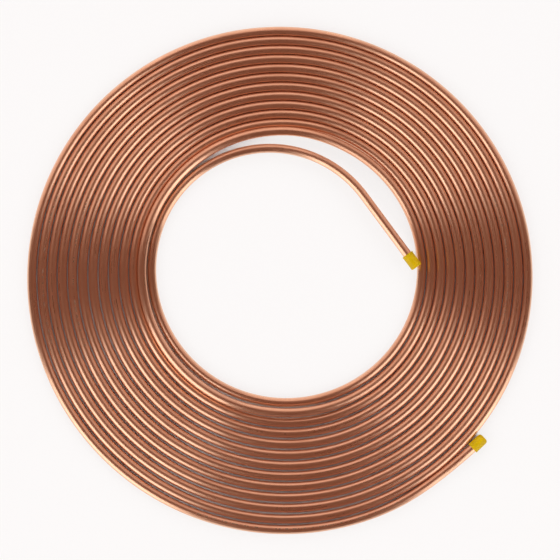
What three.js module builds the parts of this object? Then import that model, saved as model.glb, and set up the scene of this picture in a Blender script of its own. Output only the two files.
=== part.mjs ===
// A flat coil of soft copper tube, as sold for refrigeration and fuel lines.
//
// One length of 3/8 in tube is wound in a single layer, from the outer end inwards, clockwise as seen
// from above. Its outer end lies against the coil and its inner end springs free of the innermost turn,
// crosses the eye and rests on the turn opposite. A push-on plastic cap closes each end.
//
// Millimetres, +Z up, the coil lying flat on Z = 0. Angles on the coil run clockwise from +X, seen from
// above, because that is the way the tube is wound.

import * as THREE from "three";

// ---- Tube ----
const TUBE_OD = 9.525; // 3/8 in
const TUBE_WALL = 0.813; // 0.032 in

// ---- Coil ----
const COIL_RADIUS = 266.6; // to the tube's centreline, where the outermost turn starts
const TURNS = 12.417;
const START_ANGLE = degrees(360 / 7); // where the outer tail leaves the coil
const TURN_GAP = 0.1; // between neighbours on the side where the turns lie against one another
const TURN_SLACK = 0.84; // what each turn is loose by; it shows as a gap on the side opposite the lean
const LEAN_ANGLE = degrees(-70.7); // the loose turns have slid this way
const SNUG_TURNS = 3; // the innermost turns, over which the slack fades out
const OUT_OF_ROUND = 1.08; // added to the coil's radius on its long axis, and taken off it across that
const LONG_AXIS_ANGLE = degrees(18.7);

// ---- Loose inner turns ----
const RIDE_OUT = 1.3; // a stretch of the last turn but one has slid out by this, up on its neighbour
const RIDE_MIDDLE_TURN = TURNS - 1.02;
const RIDE_TURNS = 0.42; // how long the stretch is that has slid out all the way
const SLIDE_TURNS = 0.08; // over which it slides out, and back
const CLIMB_TURNS = 0.12; // over which it climbs before that, and comes down after it
const SAG = 1.2; // the last turn sags into the eye by this
const SAG_TURNS = 0.74; // from where it leaves its neighbour to the inner tail
const FOLLOW_OUT = 1.15; // the end of the last turn follows the riding stretch and has slid out by this
const FOLLOW_TURNS = 0.31; // from where it has slid out halfway to the inner tail
const FOLLOW_SLIDE_TURNS = 0.22; // over which it slides out

// ---- Tails ----
const OUTER_TAIL_TUCK = 1.25; // pressed in by this where it leaves the coil, up to the turn inside it
const OUTER_TAIL_RADIUS = 580; // sprung straighter than the coil
const OUTER_TAIL_SWEEP = degrees(5.85);
const INNER_TAIL_TIGHTER = 14.62; // the inner tail curls this much tighter than its last turn
const INNER_TAIL_BEND = degrees(121.3);
const INNER_TAIL_STRAIGHT = 90.8; // and then runs straight to its end

// ---- End caps ----
const CAP_WALL = 0.95;
const CAP_LENGTH = 16.8;
const CAP_END_THICKNESS = 2.2;
const OUTER_CAP_EDGE_RADIUS = 3.2; // round its closed end, which is nearly a dome
const INNER_CAP_EDGE_RADIUS = 1.4;
const CAP_BORE_CLEARANCE = 0.15; // between the tube's widest corner and the cap's bore
const SEAT_GAP = 0.3; // left where a piece lies on, or stops against, another

// ---- Facets ----
const STEPS_PER_TURN = 28; // a multiple of 4 and of 7, so that a section falls on each side of the coil
const TUBE_SIDES = 8; // a multiple of 4, so that flats face up, down, in and out
const CAP_SIDES = 24;
const CAP_EDGE_STEPS = 4;
const OUTER_TAIL_STEPS = 3;
const INNER_TAIL_STRAIGHT_STEPS = 3;
const CAP_AXIS_STEPS = 12; // where a cap's distance from the turns is measured

const COPPER = new THREE.MeshStandardMaterial({ color: 0xb87050, roughness: 0.3, metalness: 1 });
const YELLOW_PLASTIC = new THREE.MeshStandardMaterial({ color: 0xd8bd18, roughness: 0.45, metalness: 0 });

function degrees(angle) {
  return (angle * Math.PI) / 180;
}

// Unit vector at a clockwise angle, seen from above.
function clockwise(angle) {
  return new THREE.Vector3(Math.cos(angle), -Math.sin(angle), 0);
}

// ---- Path of the tube's centreline ----

// How many turns' worth of slack there is between the outermost turn and this one.
function slackTurns(turn) {
  const into = Math.max(0, turn - (TURNS - SNUG_TURNS));
  return turn - into ** 2 / (2 * SNUG_TURNS);
}

// The coil's radius at a turn, leaving out the little that it is out of round.
function radiusAt(turn) {
  return COIL_RADIUS - (TUBE_OD + TURN_GAP) * turn - TURN_SLACK * slackTurns(turn);
}

// 1 on the stretch that rides, 0 away from it, and between them on a ramp at each end.
function riding(turn, length, ramp) {
  const fromEnd = length / 2 - Math.abs(turn - RIDE_MIDDLE_TURN);
  return THREE.MathUtils.smoothstep(fromEnd, -ramp, 0);
}

// How high the riding stretch is. It climbs before it slides out, so that it clears its neighbour.
function rideHeight(turn) {
  const apart = TUBE_OD + TURN_GAP;
  const up = Math.SQRT2 * apart - (apart - RIDE_OUT);
  return up * riding(turn, RIDE_TURNS + 2 * SLIDE_TURNS, CLIMB_TURNS);
}

// How far the last turn has sagged into the eye.
function sag(turn) {
  const along = THREE.MathUtils.clamp((TURNS - turn) / SAG_TURNS, 0, 1);
  return SAG * Math.sin(Math.PI * along) ** 2;
}

// How far the end of the last turn has slid out.
function follow(turn) {
  const past = turn - (TURNS - FOLLOW_TURNS);
  return FOLLOW_OUT * THREE.MathUtils.smoothstep(past, -FOLLOW_SLIDE_TURNS / 2, FOLLOW_SLIDE_TURNS / 2);
}

// A point of the spiral, in plan. Turn 0 is where the outer tail leaves it.
function spiralPoint(turn) {
  const angle = START_ANGLE + 2 * Math.PI * turn;
  const oval = OUT_OF_ROUND * Math.cos(2 * (angle - LONG_AXIS_ANGLE));
  const loose = RIDE_OUT * riding(turn, RIDE_TURNS, SLIDE_TURNS) - sag(turn) + follow(turn);
  return clockwise(angle)
    .multiplyScalar(radiusAt(turn) + oval + loose)
    .addScaledVector(clockwise(LEAN_ANGLE), TURN_SLACK * slackTurns(turn));
}

// The way the spiral heads at a turn, towards the inner end.
function spiralHeading(turn) {
  const step = 1e-4;
  return spiralPoint(turn + step).sub(spiralPoint(turn - step)).normalize();
}

function spiralPoints() {
  const count = Math.ceil(TURNS * STEPS_PER_TURN);
  const turns = Array.from({ length: count }, (_, step) => step / STEPS_PER_TURN);
  return turns.map((turn) => spiralPoint(turn).setZ(rideHeight(turn)));
}

// Straight on from a point, in equal steps.
function straight(from, heading, length, steps) {
  const step = length / steps;
  return Array.from({ length: steps }, (_, i) => from.clone().addScaledVector(heading, step * (i + 1)));
}

// Along an arc from a point, in equal steps. It curls clockwise, or anticlockwise if the sweep is negative.
function arc(from, heading, radius, sweep, steps) {
  const centre = from.clone().addScaledVector(turned(heading, Math.PI / 2), radius * Math.sign(sweep));
  const spoke = from.clone().sub(centre);
  return Array.from({ length: steps }, (_, i) => turned(spoke, (sweep * (i + 1)) / steps).add(centre));
}

// Steps along an arc as fine as the coil's.
function arcSteps(sweep) {
  return Math.ceil((sweep / (2 * Math.PI)) * STEPS_PER_TURN);
}

// A vector turned clockwise.
function turned(vector, angle) {
  return vector.clone().applyAxisAngle(new THREE.Vector3(0, 0, 1), -angle);
}

// From the outermost turn to the tube's outer end.
function outerTail() {
  const away = spiralHeading(0).negate();
  const start = spiralPoint(0).addScaledVector(turned(away, -Math.PI / 2), OUTER_TAIL_TUCK);
  return [start, ...arc(start, away, OUTER_TAIL_RADIUS, -OUTER_TAIL_SWEEP, OUTER_TAIL_STEPS)];
}

// From the innermost turn to the tube's inner end.
function innerTail() {
  const start = spiralPoint(TURNS);
  const heading = spiralHeading(TURNS);
  const radius = radiusAt(TURNS) - INNER_TAIL_TIGHTER;
  const bend = arc(start, heading, radius, INNER_TAIL_BEND, arcSteps(INNER_TAIL_BEND));
  const endHeading = turned(heading, INNER_TAIL_BEND);
  const end = straight(bend.at(-1), endHeading, INNER_TAIL_STRAIGHT, INNER_TAIL_STRAIGHT_STEPS);
  return [start, ...bend, ...end];
}

// Raises a tail smoothly, from nothing where it leaves the coil to its full lift, and level in its cap.
function lifted(points, lift) {
  const along = [0];
  for (let i = 1; i < points.length; i++) along.push(along[i - 1] + points[i].distanceTo(points[i - 1]));
  const capped = along.at(-1) - CAP_LENGTH;
  return points.map((point, i) => point.clone().setZ(lift * THREE.MathUtils.smoothstep(along[i], 0, capped)));
}

// How far a point is from a path, in plan.
function distanceToPath(point, path) {
  const flat = path.map((place) => place.clone().setZ(0));
  const distances = flat.slice(1).map((end, i) => {
    const segment = new THREE.Line3(flat[i], end);
    return segment.closestPointToPoint(point, true, new THREE.Vector3()).distanceTo(point);
  });
  return Math.min(...distances);
}

// How high the inner end must rise for its cap to rest on the turns below it. The rounding round the
// cap's closed end is left out, because it is clear of them.
function innerLift(tail, turns) {
  const back = tail.at(-2).clone().sub(tail.at(-1)).normalize();
  const beyondTube = SEAT_GAP + CAP_END_THICKNESS - INNER_CAP_EDGE_RADIUS;
  const widest = tail.at(-1).clone().addScaledVector(back, -beyondTube);
  const capAxis = [widest, ...straight(widest, back, CAP_LENGTH - INNER_CAP_EDGE_RADIUS, CAP_AXIS_STEPS)];
  const apart = Math.min(...capAxis.map((point) => distanceToPath(point, turns)));
  const touching = capRadius() + TUBE_OD / 2 + SEAT_GAP;
  return Math.sqrt(Math.max(0, touching ** 2 - apart ** 2));
}

// The outer end is raised just enough for its cap, which is wider than the tube, to lie on the ground.
// The inner end is raised until its cap rests on the shoulder of the innermost turn.
function tubePath() {
  const turns = spiralPoints();
  const inner = innerTail();
  const outerLift = capRadius() - TUBE_OD / 2 + SEAT_GAP;
  const outer = lifted(outerTail(), outerLift).reverse();
  const path = [...outer, ...turns.slice(1), ...lifted(inner, innerLift(inner, turns))];
  return path.map((point) => point.setZ(point.z + TUBE_OD / 2));
}

// A curve through given points, which gives an extrusion one upright section at each of them.
class SectionPath extends THREE.Curve {
  constructor(points) {
    super();
    this.points = points;
    this.steps = points.length - 1;
  }

  getPoint(t, target = new THREE.Vector3()) {
    const place = THREE.MathUtils.clamp(t, 0, 1) * this.steps;
    const before = Math.min(Math.floor(place), this.steps - 1);
    return target.lerpVectors(this.points[before], this.points[before + 1], place - before);
  }

  getUtoTmapping(u) {
    return u;
  }

  computeFrenetFrames(segments) {
    const up = new THREE.Vector3(0, 0, 1);
    const tangents = Array.from({ length: segments + 1 }, (_, i) => this.getTangentAt(i / segments));
    const binormals = tangents.map((tangent) => tangent.clone().cross(up).normalize());
    const normals = tangents.map((tangent, i) => binormals[i].clone().cross(tangent));
    return { tangents, normals, binormals };
  }
}

// ---- Pieces ----

// A regular polygon round a circle of this radius, with a flat on each axis.
function polygonRound(radius, sides, PathClass) {
  const corner = radius / Math.cos(Math.PI / sides);
  const points = Array.from({ length: sides }, (_, i) => {
    const angle = ((i + 0.5) * 2 * Math.PI) / sides;
    return new THREE.Vector2(corner * Math.cos(angle), corner * Math.sin(angle));
  });
  return new PathClass(points);
}

// From the tube's axis to the corners of its octagon.
function tubeCorner() {
  return TUBE_OD / 2 / Math.cos(Math.PI / TUBE_SIDES);
}

// To the corners of the bore's polygon. Its flats clear the corners of the tube.
function capBoreRadius() {
  return (tubeCorner() + CAP_BORE_CLEARANCE) / Math.cos(Math.PI / CAP_SIDES);
}

function capRadius() {
  return capBoreRadius() + CAP_WALL;
}

function copperTube(points) {
  const section = polygonRound(TUBE_OD / 2, TUBE_SIDES, THREE.Shape);
  section.holes.push(polygonRound(TUBE_OD / 2 - TUBE_WALL, TUBE_SIDES, THREE.Path));
  const path = new SectionPath(points);
  const geometry = new THREE.ExtrudeGeometry(section, { extrudePath: path, steps: path.steps });
  return named(new THREE.Mesh(geometry, COPPER), "copper_tube");
}

// A cup turned about Y. Its mouth faces -Y, and the tube's end stops at the origin, inside it.
function capGeometry(edgeRadius) {
  const bore = capBoreRadius();
  const radius = capRadius();
  const floor = SEAT_GAP;
  const end = floor + CAP_END_THICKNESS;
  const mouth = end - CAP_LENGTH;
  const edge = new THREE.Vector2(radius - edgeRadius, end - edgeRadius);
  const profile = [new THREE.Vector2(0, floor), new THREE.Vector2(bore, floor)];
  profile.push(new THREE.Vector2(bore, mouth), new THREE.Vector2(radius, mouth));
  for (let i = 0; i <= CAP_EDGE_STEPS; i++) {
    const angle = (i / CAP_EDGE_STEPS) * (Math.PI / 2);
    const outwards = new THREE.Vector2(Math.cos(angle), Math.sin(angle));
    profile.push(outwards.multiplyScalar(edgeRadius).add(edge));
  }
  profile.push(new THREE.Vector2(0, end));
  return new THREE.LatheGeometry(profile, CAP_SIDES);
}

// A cap on the tube's end, where the tube heads from one point to another.
function endCap(name, edgeRadius, from, to) {
  const cap = named(new THREE.Mesh(capGeometry(edgeRadius), YELLOW_PLASTIC), name);
  const heading = to.clone().sub(from).normalize();
  cap.quaternion.setFromUnitVectors(new THREE.Vector3(0, 1, 0), heading);
  cap.position.copy(to);
  return cap;
}

function named(mesh, name) {
  mesh.name = name;
  return mesh;
}

// Moves a group so that its origin is the middle of its bounding box, on the ground.
function centredOnGround(group) {
  const box = new THREE.Box3().setFromObject(group, true);
  const middle = box.getCenter(new THREE.Vector3());
  group.children.forEach((child) => child.position.sub(middle.setZ(box.min.z)));
  return group;
}

const points = tubePath();
const coil = new THREE.Group();
coil.add(copperTube(points));
coil.add(endCap("outer_end_cap", OUTER_CAP_EDGE_RADIUS, points[1], points[0]));
coil.add(endCap("inner_end_cap", INNER_CAP_EDGE_RADIUS, points.at(-2), points.at(-1)));

export default centredOnGround(coil);
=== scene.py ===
"""Looks of a flat coil of soft copper tube with a yellow plastic cap on each end.

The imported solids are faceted, so each is replaced here by a smooth mesh in the same place: the tube is
swept along the same spiral, and the caps are turned with their small roundings and gate mark.
"""

from math import atan, cos, pi, radians, sin, sqrt, tan

import bpy
import numpy as np
from mathutils import Matrix, Vector

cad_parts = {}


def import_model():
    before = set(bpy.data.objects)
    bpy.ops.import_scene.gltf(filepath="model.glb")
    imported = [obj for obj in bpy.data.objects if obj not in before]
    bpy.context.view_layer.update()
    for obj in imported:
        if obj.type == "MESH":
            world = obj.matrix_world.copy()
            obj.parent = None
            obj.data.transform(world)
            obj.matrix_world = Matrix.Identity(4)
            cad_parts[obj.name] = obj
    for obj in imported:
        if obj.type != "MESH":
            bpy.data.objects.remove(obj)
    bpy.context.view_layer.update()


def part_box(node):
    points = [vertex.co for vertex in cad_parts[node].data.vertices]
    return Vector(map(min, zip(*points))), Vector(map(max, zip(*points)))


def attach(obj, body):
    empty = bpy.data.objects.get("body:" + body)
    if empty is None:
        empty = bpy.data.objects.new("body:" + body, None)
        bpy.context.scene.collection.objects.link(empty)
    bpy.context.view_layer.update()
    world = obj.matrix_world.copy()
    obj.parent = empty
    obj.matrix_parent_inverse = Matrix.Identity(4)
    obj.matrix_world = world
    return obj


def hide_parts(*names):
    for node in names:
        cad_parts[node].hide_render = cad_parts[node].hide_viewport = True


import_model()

MM = 0.001

# ---- The tube and the coil, as in the CAD source, in metres ----
TUBE_OD = 9.525 * MM
TUBE_WALL = 0.813 * MM
COIL_RADIUS = 266.6 * MM
TURNS = 12.417
START_ANGLE = radians(360 / 7)
TURN_GAP = 0.1 * MM
TURN_SLACK = 0.84 * MM
LEAN_ANGLE = radians(-70.7)
SNUG_TURNS = 3
OUT_OF_ROUND = 1.08 * MM
LONG_AXIS_ANGLE = radians(18.7)
RIDE_OUT = 1.3 * MM
RIDE_MIDDLE_TURN = TURNS - 1.02
RIDE_TURNS = 0.42
SLIDE_TURNS = 0.08
CLIMB_TURNS = 0.12
SAG = 1.2 * MM
SAG_TURNS = 0.74
FOLLOW_OUT = 1.15 * MM
FOLLOW_TURNS = 0.31
FOLLOW_SLIDE_TURNS = 0.22
OUTER_TAIL_TUCK = 1.25 * MM
OUTER_TAIL_RADIUS = 580 * MM
OUTER_TAIL_SWEEP = radians(5.85)
INNER_TAIL_TIGHTER = 14.62 * MM
INNER_TAIL_BEND = radians(121.3)
INNER_TAIL_STRAIGHT = 90.8 * MM
CAP_OD = 12.6 * MM
CAP_LENGTH = 16.8 * MM
CAP_END_THICKNESS = 2.2 * MM
OUTER_CAP_EDGE_RADIUS = 3.2 * MM
INNER_CAP_EDGE_RADIUS = 1.4 * MM
SEAT_GAP = 0.3 * MM

# ---- What only the looks have ----
WANDER = 0.22 * MM  # how far a turn strays sideways where there is room
TUCK_TURNS = 0.04  # over which the outermost turn comes in to the outer tail
END_CHAMFER = 0.15 * MM  # on the tube's cut ends
CAP_WALL_GAP = 0.08 * MM  # between the tube and the cap's bore
CAP_TAPER = 0.1 * MM  # a cap's radius is this much less at its closed end
LIP_HEIGHT = 0.18 * MM  # the lip round a cap's mouth
LIP_LENGTH = 1.6 * MM
GATE_RADIUS = 1.1 * MM  # the moulding mark in the middle of a cap's end
GATE_DEPTH = 0.25 * MM

# ---- Mesh fineness ----
SECTION_SPACING = 8 * MM
TUBE_SIDES = 24
BORE_SIDES = 12
CAP_SIDES = 72

# ---- Camera ----
PHOTO_SIZE = 560  # pixels
PHOTO_CENTRE = (279.9, 280.4)  # pixel that the coil's middle falls on
PIXEL = 1.0522 * MM  # what a pixel spans at the height of the tube's middle
CAMERA_HEIGHT = 8.0

# ---- Light panels: the tall ones stand on the floor round the coil ----
PANEL_DISTANCE = 4.0
PANEL_TOP = radians(32)  # how far from straight up their top edge looks, from the coil
FILL_TILT = radians(52)  # from straight up, seen from the coil
FILL_SIZE = 3.0
FILL_RADIANCE = 1.15
FLOOR_SIZE = 60.0


# ---- The tube's path, clockwise seen from above, from its outer end to its inner end ----


def clockwise(angle):
    return np.stack([np.cos(angle), -np.sin(angle)], axis=-1)


def turned(vector, angle):
    """A vector, or several, turned clockwise."""
    c, s = np.cos(angle), np.sin(angle)
    x, y = vector[..., 0], vector[..., 1]
    return np.stack([c * x + s * y, c * y - s * x], axis=-1)


def slack_turns(turn):
    into = np.maximum(0, turn - (TURNS - SNUG_TURNS))
    return turn - into**2 / (2 * SNUG_TURNS)


def radius_at(turn):
    return COIL_RADIUS - (TUBE_OD + TURN_GAP) * turn - TURN_SLACK * slack_turns(turn)


def smooth(share):
    share = np.clip(share, 0, 1)
    return share**2 * (3 - 2 * share)


def riding(turn, length, ramp):
    """1 on the stretch of the last turn but one that rides up on its neighbour, 0 away from it."""
    return smooth((length / 2 - np.abs(turn - RIDE_MIDDLE_TURN)) / ramp + 1)


def ride_height(turn):
    apart = TUBE_OD + TURN_GAP
    up = sqrt(2) * apart - (apart - RIDE_OUT)
    return up * riding(turn, RIDE_TURNS + 2 * SLIDE_TURNS, CLIMB_TURNS)


def sag(turn):
    """How far the last turn has sagged into the eye."""
    return SAG * np.sin(pi * np.clip((TURNS - turn) / SAG_TURNS, 0, 1)) ** 2


def follow(turn):
    """How far the end of the last turn has slid out."""
    return FOLLOW_OUT * smooth((turn - (TURNS - FOLLOW_TURNS)) / FOLLOW_SLIDE_TURNS + 0.5)


def spiral(turn):
    angle = START_ANGLE + 2 * pi * turn
    radius = radius_at(turn) + OUT_OF_ROUND * np.cos(2 * (angle - LONG_AXIS_ANGLE))
    radius = radius + RIDE_OUT * riding(turn, RIDE_TURNS, SLIDE_TURNS) - sag(turn) + follow(turn)
    lean = clockwise(np.asarray(LEAN_ANGLE)) * TURN_SLACK
    return clockwise(angle) * radius[..., None] + lean * slack_turns(turn)[..., None]


def heading(turn):
    step = 1e-4
    ahead = spiral(np.array(turn + step)) - spiral(np.array(turn - step))
    return ahead / np.linalg.norm(ahead)


def arc(start, along, radius, sweep, count=200):
    """Points after start on an arc. It curls clockwise, or anticlockwise if the sweep is negative."""
    centre = start + turned(along, pi / 2) * radius * np.sign(sweep)
    angles = np.linspace(0, sweep, count + 1)[1:]
    return centre + turned(start - centre, angles)


def wander(turn):
    """How far each point of the spiral strays outwards: nothing where the turns touch, or at its ends."""
    angle = START_ANGLE + 2 * pi * turn
    room = (1 - np.cos(angle - LEAN_ANGLE)) / 2
    ends = np.clip(np.minimum(turn, TURNS - turn), 0, 1)
    return WANDER * room * ends * (np.sin(11.9 * turn) + np.sin(7.3 * turn + 1) * 0.7) / 1.7


def lifted(flat, lift):
    """Raises a tail from nothing where it leaves the coil to its full lift, and level in its cap."""
    along = np.concatenate([[0], np.cumsum(np.linalg.norm(np.diff(flat, axis=0), axis=1))])
    return np.column_stack([flat, lift * smooth(along / (along[-1] - CAP_LENGTH))])


def outer_tail():
    away = -heading(0)
    start = spiral(np.array(0.0)) + turned(away, -pi / 2) * OUTER_TAIL_TUCK
    tail = arc(start, away, OUTER_TAIL_RADIUS, -OUTER_TAIL_SWEEP)
    lift = (CAP_OD - TUBE_OD) / 2 + SEAT_GAP
    return lifted(np.vstack([start, tail]), lift)[::-1]


def inner_tail():
    start, along = spiral(np.array(TURNS)), heading(TURNS)
    bend = arc(start, along, radius_at(TURNS) - INNER_TAIL_TIGHTER, INNER_TAIL_BEND)
    along = turned(along, INNER_TAIL_BEND)
    end = bend[-1] + along * np.linspace(0, INNER_TAIL_STRAIGHT, 100)[1:, None]
    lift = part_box("copper_tube")[1][2] - TUBE_OD
    return lifted(np.vstack([start, bend, end]), lift)


def tube_path():
    """Evenly spaced points of the tube's centreline, and how far along the tube each is."""
    turn = np.linspace(0, TURNS, 20000, endpoint=False)
    outwards = clockwise(START_ANGLE + 2 * pi * turn)
    tuck = OUTER_TAIL_TUCK * (1 - smooth(turn / TUCK_TURNS))
    coil = spiral(turn) + outwards * (wander(turn) - tuck)[:, None]
    path = np.vstack([outer_tail()[:-1], np.column_stack([coil, ride_height(turn)]), inner_tail()])
    along = np.concatenate([[0], np.cumsum(np.linalg.norm(np.diff(path, axis=0), axis=1))])
    even = np.linspace(0, along[-1], round(along[-1] / SECTION_SPACING) + 1)
    path = np.column_stack([np.interp(even, along, path[:, axis]) for axis in range(3)])
    low, high = (np.array(corner)[:2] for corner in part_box("copper_tube"))
    least, most = path[:, :2].min(0), path[:, :2].max(0)
    shrink = np.minimum(1, (high - low - TUBE_OD) / (most - least))
    path[:, :2] = (path[:, :2] - (least + most) / 2) * shrink + (low + high) / 2
    path[:, 2] += TUBE_OD / 2
    return path, even


# ---- Meshes ----


def ring(points, tangents, radius, sides):
    """Rings of points round a path, upright, each starting at its lowest point and rising on the right."""
    side = np.cross(tangents, (0, 0, 1))
    side /= np.linalg.norm(side, axis=1)[:, None]
    up = np.cross(side, tangents)
    angle = np.arange(sides) * 2 * pi / sides
    round_ = side[:, None] * np.sin(angle)[:, None] - up[:, None] * np.cos(angle)[:, None]
    return points[:, None] + round_ * np.reshape(radius, (-1, 1, 1))


def quads_between(first_ring, ring_count, sides):
    """Faces of a skin through rings of vertices, numbered from first_ring."""
    row = first_ring + np.arange(ring_count - 1)[:, None] * sides
    here, after = np.arange(sides), (np.arange(sides) + 1) % sides
    corners = [row + here, row + after, row + after + sides, row + here + sides]
    return np.stack(corners, axis=-1).reshape(-1, 4)


def new_mesh(name, vertices, faces, material):
    mesh = bpy.data.meshes.new(name)
    mesh.from_pydata(vertices.tolist(), [], faces)
    mesh.materials.append(material)
    mesh.shade_smooth()
    piece = bpy.data.objects.new(name, mesh)
    bpy.context.scene.collection.objects.link(piece)
    return piece


def copper_tube(path, along, material):
    """The tube: its outside and its bore, joined by chamfered cut ends."""
    tangents = np.gradient(path, axis=0)
    tangents /= np.linalg.norm(tangents, axis=1)[:, None]
    outside = np.full(len(path), TUBE_OD / 2)
    outside[[0, -1]] -= END_CHAMFER
    skin = ring(path, tangents, outside, TUBE_SIDES)
    bore = ring(path, tangents, TUBE_OD / 2 - TUBE_WALL, BORE_SIDES)
    vertices = np.vstack([skin.reshape(-1, 3), bore.reshape(-1, 3)])
    bore_start = skin.shape[0] * TUBE_SIDES
    faces = quads_between(0, len(path), TUBE_SIDES)[:, ::-1].tolist()
    faces += quads_between(bore_start, len(path), BORE_SIDES).tolist()
    for section, flip in ((0, False), (len(path) - 1, True)):
        faces += annulus(section * TUBE_SIDES, bore_start + section * BORE_SIDES, flip)
    piece = new_mesh("tube", vertices, faces, material)
    lay_out_tube(piece.data, along, len(path) * TUBE_SIDES)
    return piece


def annulus(skin_start, bore_start, flip):
    """The cut end: for each step of the bore, a triangle and a quad reach the finer outside ring."""
    ratio = TUBE_SIDES // BORE_SIDES
    faces = []
    for step in range(BORE_SIDES):
        inner = bore_start + step
        inner_after = bore_start + (step + 1) % BORE_SIDES
        rim = [skin_start + (step * ratio + k) % TUBE_SIDES for k in range(ratio + 1)]
        faces += [(inner, rim[0], rim[1]), (inner, *rim[1:], inner_after)]
    return [face[::-1] for face in faces] if flip else faces


def lay_out_tube(mesh, along, skin_count):
    """UV map: metres along the tube, and turns round it from its lowest line."""
    layer = mesh.uv_layers.new(name="Tube")
    loops = np.zeros(len(mesh.loops), np.int32)
    mesh.loops.foreach_get("vertex_index", loops)
    on_skin = loops < skin_count
    sides = np.where(on_skin, TUBE_SIDES, BORE_SIDES)
    place = np.where(on_skin, loops, loops - skin_count)
    v = (place % sides) / sides
    face = np.repeat(np.arange(len(mesh.polygons)), [len(p.vertices) for p in mesh.polygons])
    highest = np.zeros(len(mesh.polygons))
    np.maximum.at(highest, face, v)
    v[(highest[face] > 0.75) & (v < 0.25)] += 1
    layer.uv.foreach_set("vector", np.column_stack([along[place // sides], v]).astype(np.float32).ravel())


def rounded(centre, radius, start, end, count):
    """Points on an arc of a profile, at angles from start to end."""
    angles = np.linspace(start, end, count)
    return [(centre[0] + radius * cos(a), centre[1] + radius * sin(a)) for a in angles]


def cap_profile(edge_radius):
    """(radius, height) from the floor of the cup, over the lip, to the middle of the closed end.

    Height 0 is where the tube ends, and the mouth faces down."""
    bore = TUBE_OD / 2 + CAP_WALL_GAP
    end = SEAT_GAP + CAP_END_THICKNESS
    mouth = end - CAP_LENGTH
    lip = LIP_HEIGHT / 2 + 0.25 * MM
    body = CAP_OD / 2 - LIP_HEIGHT
    top = body - CAP_TAPER
    profile = [(0, SEAT_GAP), (bore - 0.6 * MM, SEAT_GAP)]
    profile += rounded((bore - 0.5 * MM, SEAT_GAP - 0.5 * MM), 0.5 * MM, pi / 2, 0, 5)
    profile += [(bore, mouth + 1.5 * MM), (bore + 0.12 * MM, mouth + 0.4 * MM)]
    profile += rounded((bore + 0.4 * MM, mouth + 0.3 * MM), 0.3 * MM, pi, 1.5 * pi, 4)
    profile += rounded((CAP_OD / 2 - lip, mouth + lip), lip, 1.5 * pi, 2 * pi, 6)
    profile += rounded((CAP_OD / 2 - lip, mouth + LIP_LENGTH - lip), lip, 0, pi / 3, 5)
    profile += [(body + 0.03 * MM, mouth + LIP_LENGTH + 0.1 * MM), (body, mouth + LIP_LENGTH + 0.4 * MM)]
    straight = CAP_LENGTH - edge_radius
    profile += [(body - CAP_TAPER * share, mouth + straight * share) for share in (0.4, 0.7)]
    profile += rounded((top - edge_radius, end - edge_radius), edge_radius, 0, pi / 2, 10)
    profile += [(GATE_RADIUS + 0.2 * MM, end), (GATE_RADIUS, end - 0.04 * MM)]
    profile += [(GATE_RADIUS - 0.2 * MM, end - GATE_DEPTH), (0, end - GATE_DEPTH)]
    return profile


def end_cap(name, edge_radius, tip, direction, material):
    """A cap turned round its axis, with its closed end pointing along direction from the tube's tip."""
    profile = cap_profile(edge_radius)
    angles = np.arange(CAP_SIDES) * 2 * pi / CAP_SIDES
    vertices = [(0, 0, profile[0][1])]
    for radius, height in profile[1:-1]:
        vertices += [(radius * cos(a), radius * sin(a), height) for a in angles]
    vertices.append((0, 0, profile[-1][1]))
    rings = len(profile) - 2
    faces = quads_between(1, rings, CAP_SIDES)[:, ::-1].tolist()
    last = 1 + (rings - 1) * CAP_SIDES
    for side in range(CAP_SIDES):
        after = (side + 1) % CAP_SIDES
        faces.append((0, 1 + side, 1 + after))
        faces.append((len(vertices) - 1, last + after, last + side))
    piece = new_mesh(name, np.array(vertices, float), faces, material)
    turn = Vector((0, 0, 1)).rotation_difference(Vector(direction)).to_matrix().to_4x4()
    piece.data.transform(Matrix.Translation(Vector(tip)) @ turn)
    return piece


# ---- Materials ----


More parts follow.
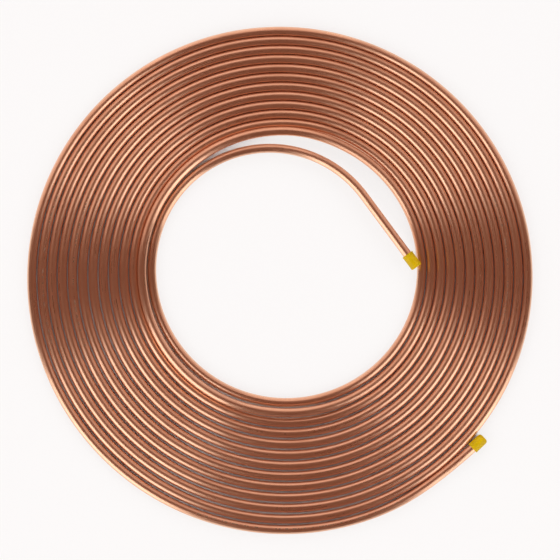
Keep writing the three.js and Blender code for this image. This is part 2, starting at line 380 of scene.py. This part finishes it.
class Nodes:
    """Short names for building a material's node tree."""

    def __init__(self, name):
        self.material = bpy.data.materials.new(name)
        self.material.use_nodes = True
        self.tree = self.material.node_tree
        self.shader = self.tree.nodes["Principled BSDF"]

    def add(self, kind, **settings):
        node = self.tree.nodes.new(kind)
        for key, value in settings.items():
            setattr(node, key, value)
        return node

    def link(self, source, target):
        self.tree.links.new(source, target)

    def math(self, operation, *inputs, clamp=False):
        node = self.add("ShaderNodeMath", operation=operation, use_clamp=clamp)
        for socket, value in zip(node.inputs, inputs):
            self.feed(socket, value)
        return node.outputs[0]

    def feed(self, socket, value):
        if isinstance(value, bpy.types.NodeSocket):
            self.link(value, socket)
        else:
            socket.default_value = value

    def stretched(self, coordinates, scale):
        node = self.add("ShaderNodeMapping")
        self.link(coordinates, node.inputs["Vector"])
        node.inputs["Scale"].default_value = scale
        return node.outputs[0]

    def noise(self, coordinates, scale, detail=3.0, roughness=0.5):
        node = self.add("ShaderNodeTexNoise")
        self.link(coordinates, node.inputs["Vector"])
        node.inputs["Scale"].default_value = scale
        node.inputs["Detail"].default_value = detail
        node.inputs["Roughness"].default_value = roughness
        return node.outputs["Fac"]

    def between(self, value, low, high, to_low=0.0, to_high=1.0):
        node = self.add("ShaderNodeMapRange", clamp=True, interpolation_type="SMOOTHSTEP")
        self.link(value, node.inputs["Value"])
        for name, number in zip(("From Min", "From Max", "To Min", "To Max"), (low, high, to_low, to_high)):
            node.inputs[name].default_value = number
        return node.outputs[0]

    def mix(self, share, first, second, blend="MIX"):
        node = self.add("ShaderNodeMix", data_type="RGBA", blend_type=blend)
        self.feed(node.inputs["Factor"], share)
        self.feed(node.inputs["A"], first)
        self.feed(node.inputs["B"], second)
        return node.outputs["Result"]

    def bump(self, height, distance, strength=1.0, normal=None):
        node = self.add("ShaderNodeBump")
        self.link(height, node.inputs["Height"])
        node.inputs["Distance"].default_value = distance
        node.inputs["Strength"].default_value = strength
        if normal:
            self.link(normal, node.inputs["Normal"])
        return node.outputs[0]


YELLOW = (0.62, 0.43, 0.002, 1)
YELLOW_DEEP = (0.52, 0.37, 0.001, 1)
FLOOR = (0.78, 0.78, 0.78, 1)
FLOOR_MOTTLED = (0.82, 0.82, 0.82, 1)
FLOOR_PLAIN_SHARE = 0.75  # the most of the floor that is drawn white and not lit
FLOOR_CLOSED_OVER = 0.25  # the share of open sky up to which the floor is all lit
FLOOR_IN_THE_OPEN = 0.37  # and from which its plain share is whole
FLOOR_SHADOW_REACH = 15 * MM
COPPER = (0.94, 0.57, 0.38, 1)
COPPER_TARNISHED = (0.81, 0.44, 0.27, 1)
BARE_COPPER = 0.97  # the share of the surface that no dull film of oxide covers
INK = (0.06, 0.03, 0.02, 1)
INK_DARKNESS = 0.7
INK_LINE = 0.47  # turns round the tube from its lowest line: nearly at the top
INK_LINE_HALF_WIDTH = 0.016
INK_RUNS = ((0.1, 0.23), (2.2, 0.31), (4.49, 0.17), (6.58, 0.27))  # metres: where each starts, its length


def copper():
    n = Nodes("copper")
    uv = n.add("ShaderNodeUVMap", uv_map="Tube").outputs[0]
    place = n.add("ShaderNodeTexCoord").outputs["Object"]
    streaks = n.noise(n.stretched(uv, (3, 24, 1)), 1.0, 2, 0.5)
    tarnish = n.noise(place, 22, 4, 0.55)
    handling = n.noise(n.stretched(uv, (25, 5, 1)), 1.0, 1, 0.5)
    stained = n.between(tarnish, 0.42, 0.72)
    colour = n.mix(n.math("MULTIPLY", stained, 0.45), COPPER, COPPER_TARNISHED)
    colour = n.mix(n.between(streaks, 0.5, 0.75, 0, 0.25), colour, COPPER_TARNISHED)
    ink = ink_mask(n, uv)
    n.link(n.mix(ink, colour, INK), n.shader.inputs["Base Color"])
    n.link(n.math("MULTIPLY", n.math("SUBTRACT", 1.0, ink), BARE_COPPER), n.shader.inputs["Metallic"])
    drawn_roughness = n.between(streaks, 0.3, 0.7, 0.26, 0.31)
    roughness = n.math("ADD", drawn_roughness, n.between(handling, 0.4, 0.7, 0, 0.02))
    n.link(n.math("ADD", roughness, n.math("MULTIPLY", stained, 0.04)), n.shader.inputs["Roughness"])
    n.shader.inputs["Anisotropic"].default_value = 0.65
    n.shader.inputs["Anisotropic Rotation"].default_value = 0.25
    tangent = n.add("ShaderNodeTangent", direction_type="UV_MAP", uv_map="Tube")
    n.link(tangent.outputs[0], n.shader.inputs["Tangent"])
    drawn = n.bump(streaks, 0.008 * MM)
    n.link(n.bump(n.noise(place, 40, 2), 0.12 * MM, 1.0, drawn), n.shader.inputs["Normal"])
    return n.material


def ink_mask(n, uv):
    """How dark the printed ticks are: short faint dashes in a line along the tube's top, in a few runs."""
    split = n.add("ShaderNodeSeparateXYZ")
    n.link(uv, split.inputs[0])
    along, around = split.outputs[0], split.outputs[1]
    runs = 0.0
    for start, length in INK_RUNS:
        from_middle = n.math("ABSOLUTE", n.math("SUBTRACT", along, start + length / 2))
        inside = n.math("LESS_THAN", from_middle, length / 2)
        runs = n.math("MAXIMUM", runs, inside)
    beside = n.math("ABSOLUTE", n.math("SUBTRACT", around, INK_LINE))
    in_line = n.math("LESS_THAN", beside, INK_LINE_HALF_WIDTH)
    dashes = n.math("GREATER_THAN", n.noise(n.stretched(uv, (420, 3, 1)), 1.0, 1), 0.53)
    worn = n.math("GREATER_THAN", n.noise(n.stretched(uv, (30, 2, 1)), 1.0, 2), 0.42)
    printed = n.math("MULTIPLY", n.math("MULTIPLY", runs, in_line), n.math("MULTIPLY", dashes, worn))
    return n.math("MULTIPLY", printed, INK_DARKNESS)


def cap_plastic():
    n = Nodes("cap_plastic")
    place = n.add("ShaderNodeTexCoord").outputs["Object"]
    cloudy = n.noise(place, 160, 3)
    n.link(n.mix(n.between(cloudy, 0.35, 0.7), YELLOW, YELLOW_DEEP), n.shader.inputs["Base Color"])
    n.link(n.between(n.noise(place, 900, 2), 0.3, 0.7, 0.32, 0.46), n.shader.inputs["Roughness"])
    n.shader.inputs["Specular IOR Level"].default_value = 0.18
    n.shader.inputs["Subsurface Weight"].default_value = 0.15
    n.shader.inputs["Subsurface Radius"].default_value = (1.0, 0.6, 0.1)
    n.shader.inputs["Subsurface Scale"].default_value = 1 * MM
    n.link(n.bump(n.noise(place, 1500, 3), 0.02 * MM), n.shader.inputs["Normal"])
    return n.material


def floor_white():
    """Plain and pale. Part of it is drawn white, for the camera and in the copper; the rest is lit, and keeps
    the coil's shadow. Where the coil closes over the floor all of it is lit."""
    n = Nodes("floor_white")
    place = n.add("ShaderNodeTexCoord").outputs["Object"]
    white = n.mix(n.noise(place, 400, 2), FLOOR, FLOOR_MOTTLED)
    # ambient occlusion fades the drawn white where the coil closes over or stands near the floor, so the
    # floor is darker there: painted shade on top of the coil's real shadow
    open_sky = n.add("ShaderNodeAmbientOcclusion", samples=16)
    open_sky.inputs["Distance"].default_value = FLOOR_SHADOW_REACH
    share = n.between(open_sky.outputs["AO"], FLOOR_CLOSED_OVER, FLOOR_IN_THE_OPEN)
    n.link(white, n.shader.inputs["Base Color"])
    n.shader.inputs["Roughness"].default_value = 0.9
    n.shader.inputs["Specular IOR Level"].default_value = 0.0
    rays = n.add("ShaderNodeLightPath").outputs
    seen = n.math("MAXIMUM", rays["Is Camera Ray"], rays["Is Glossy Ray"])
    seen = n.math("MAXIMUM", seen, rays["Is Transmission Ray"])
    plain = n.add("ShaderNodeEmission")
    blend = n.add("ShaderNodeMixShader")
    n.link(n.math("MULTIPLY", n.math("MULTIPLY", seen, share), FLOOR_PLAIN_SHARE), blend.inputs["Fac"])
    n.link(n.shader.outputs[0], blend.inputs[1])
    n.link(plain.outputs[0], blend.inputs[2])
    n.link(blend.outputs[0], n.tree.nodes["Material Output"].inputs["Surface"])
    return n.material


# ---- Stage: floor, light and camera ----


def floor():
    bpy.ops.mesh.primitive_plane_add(size=FLOOR_SIZE)
    plane = bpy.context.object
    plane.name = "floor"
    plane.data.materials.append(floor_white())


def panel(name, bearing, spread, radiance, colour=(1, 1, 1)):
    """A soft light panel, upright beside the coil.

    bearing, clockwise from +X, is the way it lies, spread is how wide it looks from the coil, and radiance is
    how bright: 1 is white."""
    light = bpy.data.lights.new(name, "AREA")
    light.shape = "RECTANGLE"
    light.size = 2 * PANEL_DISTANCE * tan(spread / 2)
    light.size_y = PANEL_DISTANCE / tan(PANEL_TOP)
    light.color = colour
    light.energy = radiance * light.size * light.size_y * 4
    lamp = bpy.data.objects.new(name, light)
    bpy.context.scene.collection.objects.link(lamp)
    away = Vector((cos(bearing), -sin(bearing), 0))
    lamp.location = away * PANEL_DISTANCE + Vector((0, 0, light.size_y / 2))
    lamp.rotation_euler = (-away).to_track_quat("-Z", "Y").to_euler()
    lamp.visible_camera = False


def fill(name, bearing):
    """A light panel halfway up the sky, which lights only what isn't shiny."""
    light = bpy.data.lights.new(name, "AREA")
    light.size = FILL_SIZE
    light.energy = FILL_RADIANCE * FILL_SIZE**2 * 4
    lamp = bpy.data.objects.new(name, light)
    bpy.context.scene.collection.objects.link(lamp)
    level = sin(FILL_TILT)
    away = Vector((cos(bearing) * level, -sin(bearing) * level, cos(FILL_TILT)))
    lamp.location = away * PANEL_DISTANCE
    lamp.rotation_euler = (-away).to_track_quat("-Z", "Y").to_euler()
    lamp.visible_camera = False
    lamp.visible_glossy = False


def lights():
    """Two softboxes and three reflectors show in the copper, with dark gaps between them."""
    panel("softbox_right", radians(39), radians(34), 1.32)
    panel("softbox_left", radians(135), radians(44), 1.34)
    for bearing, radiance in ((218, 0.56), (265, 0.57), (318, 0.41)):
        panel(f"reflector_{bearing}", radians(bearing), radians(50), radiance, (1, 0.83, 0.78))
    for bearing in (0, 90, 180, 270):
        fill(f"fill_{bearing}", radians(bearing))


def world():
    """Dim and brown, and pale only along the horizon."""
    scene = bpy.context.scene
    scene.world = bpy.data.worlds.new("studio")
    scene.world.use_nodes = True
    tree = scene.world.node_tree
    direction = tree.nodes.new("ShaderNodeTexCoord").outputs["Generated"]
    split = tree.nodes.new("ShaderNodeSeparateXYZ")
    tree.links.new(direction, split.inputs[0])
    ramp = tree.nodes.new("ShaderNodeMapRange")
    tree.links.new(split.outputs["Z"], ramp.inputs["Value"])
    ramp.inputs["From Min"].default_value = 0.02
    ramp.inputs["From Max"].default_value = 0.06
    mix = tree.nodes.new("ShaderNodeMix")
    mix.data_type = "RGBA"
    tree.links.new(ramp.outputs[0], mix.inputs["Factor"])
    mix.inputs["A"].default_value = (0.9, 0.9, 0.9, 1)
    mix.inputs["B"].default_value = (0.14, 0.048, 0.025, 1)
    tree.links.new(mix.outputs["Result"], tree.nodes["Background"].inputs["Color"])


def camera():
    """Straight above the coil, with the photograph's top towards +Y."""
    data = bpy.data.cameras.new("camera")
    data.angle = 2 * atan(PHOTO_SIZE * PIXEL / 2 / (CAMERA_HEIGHT - TUBE_OD / 2))
    data.clip_end = 30
    eye = bpy.data.objects.new("camera", data)
    bpy.context.scene.collection.objects.link(eye)
    across = (PHOTO_SIZE / 2 - PHOTO_CENTRE[0]) * PIXEL
    down = (PHOTO_SIZE / 2 - PHOTO_CENTRE[1]) * PIXEL
    eye.location = (across, -down, CAMERA_HEIGHT)
    bpy.context.scene.camera = eye


def main():
    path, along = tube_path()
    plastic = cap_plastic()
    tube = copper_tube(path, along, copper())
    outer = end_cap("outer_cap", OUTER_CAP_EDGE_RADIUS, path[0], path[0] - path[1], plastic)
    inner = end_cap("inner_cap", INNER_CAP_EDGE_RADIUS, path[-1], path[-1] - path[-2], plastic)
    for piece, node, slot in (
        (tube, "copper_tube", "copper"),
        (outer, "outer_end_cap", "cap_plastic"),
        (inner, "inner_end_cap", "cap_plastic"),
    ):
        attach(piece, "root")
        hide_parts(node)
    floor()
    lights()
    world()
    camera()
    bpy.context.scene.view_settings.view_transform = "Standard"


main()
